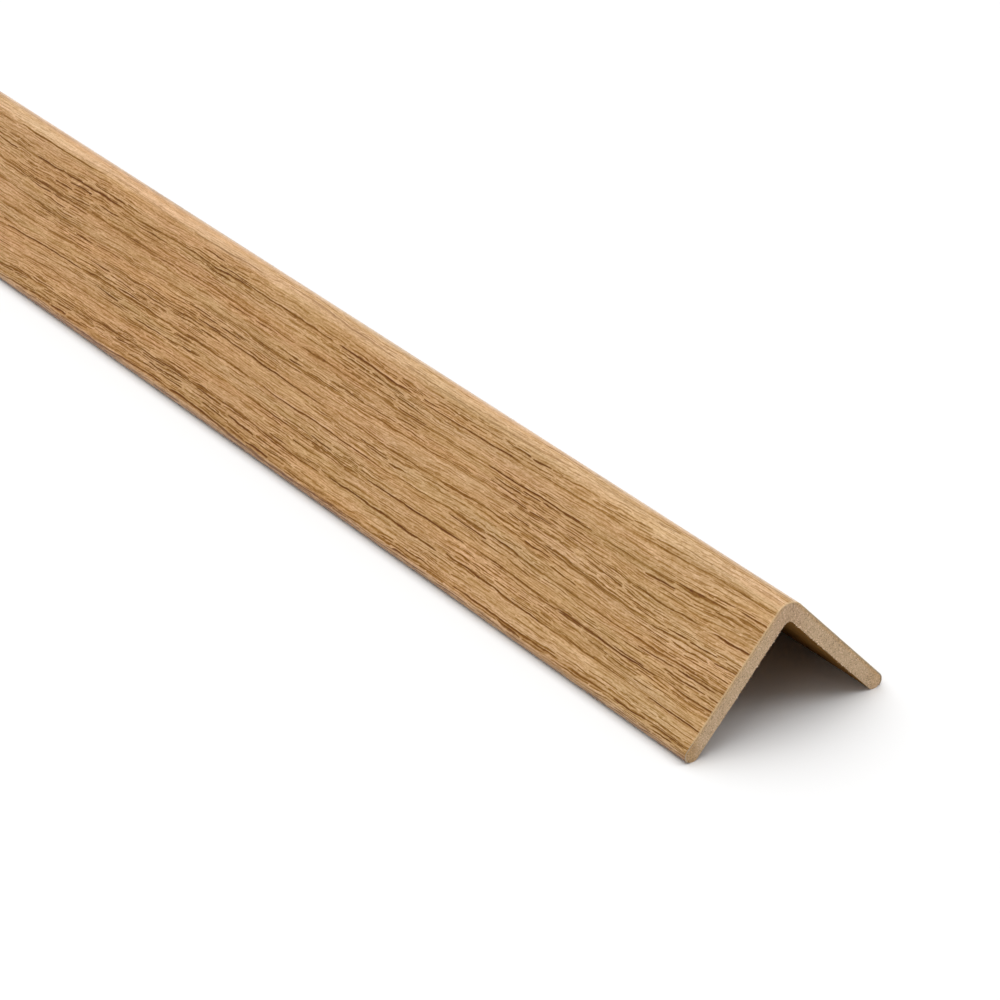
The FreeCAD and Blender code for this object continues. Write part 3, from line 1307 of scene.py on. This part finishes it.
make_light_bank("overhead_bank", strength=1.89, spread_degrees=84, tilt_x=0, tilt_y=-16)
make_light_bank("mouth_bank", strength=0.40, spread_degrees=34, tilt_x=-34, tilt_y=34)
make_light_bank("near_side_bank", strength=0.56, spread_degrees=60, tilt_x=45, tilt_y=0)
make_light_bank("far_side_bank", strength=0.20, spread_degrees=60, tilt_x=-45, tilt_y=0)
scene.view_settings.view_transform = "Standard"
print("light banks:", len(bpy.data.lights))

# %% [markdown]
# ## The camera
# The photograph's own angle was worked out from the outline of the cut end and the crest. The
# camera is placed by where the near end's sharp outer corner falls in the picture: step back from
# that corner along the view, then sideways and up, so that the corner lands on its pixel.

# %% Camera
from mathutils import Matrix, Vector

PICTURE_PIXELS = 1000
CAMERA_AZIMUTH = math.radians(53.96)
CAMERA_ELEVATION = math.radians(29.02)
FOCAL_PIXELS = 4049.7
NEAR_CORNER_PIXEL = (789.9, 594.2)
CAMERA_DISTANCE = 613.1 * MM
SENSOR_WIDTH = 36.0
CLIP_START = 10.0 * MM


def make_camera():
    """Camera at the photograph's angle."""
    back = Vector((math.sin(CAMERA_AZIMUTH) * math.cos(CAMERA_ELEVATION),
                   -math.cos(CAMERA_AZIMUTH) * math.cos(CAMERA_ELEVATION),
                   math.sin(CAMERA_ELEVATION)))
    right = Vector((math.cos(CAMERA_AZIMUTH), math.sin(CAMERA_AZIMUTH), 0))
    up = back.cross(right)
    metres_per_pixel = CAMERA_DISTANCE / FOCAL_PIXELS
    right_of_middle = (NEAR_CORNER_PIXEL[0] - PICTURE_PIXELS / 2) * metres_per_pixel
    below_middle = (NEAR_CORNER_PIXEL[1] - PICTURE_PIXELS / 2) * metres_per_pixel
    near_corner = Vector((END_X, 0, APEX_HEIGHT))
    data = bpy.data.cameras.new("photo_camera")
    data.sensor_width = SENSOR_WIDTH
    data.lens = FOCAL_PIXELS / PICTURE_PIXELS * SENSOR_WIDTH
    data.clip_start = CLIP_START
    camera = bpy.data.objects.new("photo_camera", data)
    place = near_corner - right * right_of_middle + up * below_middle + back * CAMERA_DISTANCE
    turned = Matrix((right, up, back)).transposed().to_4x4()
    camera.matrix_world = Matrix.Translation(place) @ turned
    scene.collection.objects.link(camera)
    scene.camera = camera


make_camera()
print("camera lens in millimetres:", round(scene.camera.data.lens, 1))
